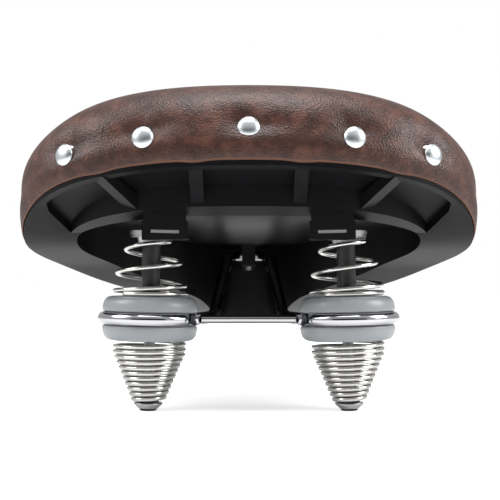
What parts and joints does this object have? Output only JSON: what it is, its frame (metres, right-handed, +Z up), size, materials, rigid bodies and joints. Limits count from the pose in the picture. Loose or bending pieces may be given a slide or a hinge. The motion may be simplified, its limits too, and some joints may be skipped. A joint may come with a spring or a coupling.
{
  "type": "bicycle saddle",
  "caption": "Wide padded bicycle saddle on a ribbed base, with a wire rail frame, rubber rings and coil springs under the rear and a pivot in the nose.",
  "frame": {"origin": "Midway between the two rails, on their centre lines, at the middle of the straight stretch a seat post clamp grips.", "axes": "+Z up, the nose points along +Y and the rider's right is +X; the straight rails and the rear rings lie in the plane Z = 0."},
  "size_m": [0.2584, 0.2638, 0.1761],
  "materials": {
    "cover_leatherette": "dark red-brown leatherette with fine grain and a soft sheen",
    "foam": "moulded dark polyurethane foam, hidden",
    "black_plastic": "moulded black plastic, satin",
    "tube_black": "black plastic tube",
    "rail_chrome": "polished chrome plating",
    "spring_chrome": "bright plated spring steel",
    "rivet_metal": "bright domed rivet heads",
    "zinc_steel": "zinc-plated steel",
    "grey_rubber": "slate grey rubber, satin"
  },
  "bodies": {
    "rail_frame": {"rail_wire": "rail_chrome", "rear_cross_bar": "rail_chrome", "left_upper_elastomer": "grey_rubber", "left_lower_elastomer": "grey_rubber", "left_upper_spring": "spring_chrome", "left_cone_spring": "spring_chrome", "right_upper_elastomer": "grey_rubber", "right_lower_elastomer": "grey_rubber", "right_upper_spring": "spring_chrome", "right_cone_spring": "spring_chrome"},
    "seat": {"base_shell": "black_plastic", "foam_pad": "foam", "cover": "cover_leatherette", "rivets": "rivet_metal", "rivet_washers": "zinc_steel", "plate_screws": "zinc_steel", "nose_cap": "black_plastic", "nose_screws": "zinc_steel", "foot_plugs": "black_plastic", "left_spring_cup": "zinc_steel", "left_guide_tube": "tube_black", "left_spring_plate": "zinc_steel", "left_suspension_bolt": "zinc_steel", "left_cone_nut": "spring_chrome", "right_spring_cup": "zinc_steel", "right_guide_tube": "tube_black", "right_spring_plate": "zinc_steel", "right_suspension_bolt": "zinc_steel", "right_cone_nut": "spring_chrome"}
  },
  "joints": [
    {"name": "nose_hinge", "type": "hinge", "parent": "rail_frame", "child": "seat", "pos_m": [0, 0.108, 0.038], "axis": [1, 0, 0], "range_deg": [0, 4.5], "stiffness_Nm_per_rad": 1300, "springref_deg": -0.57, "deforming": ["left_upper_spring", "right_upper_spring", "left_cone_spring", "right_cone_spring"]}
  ]
}
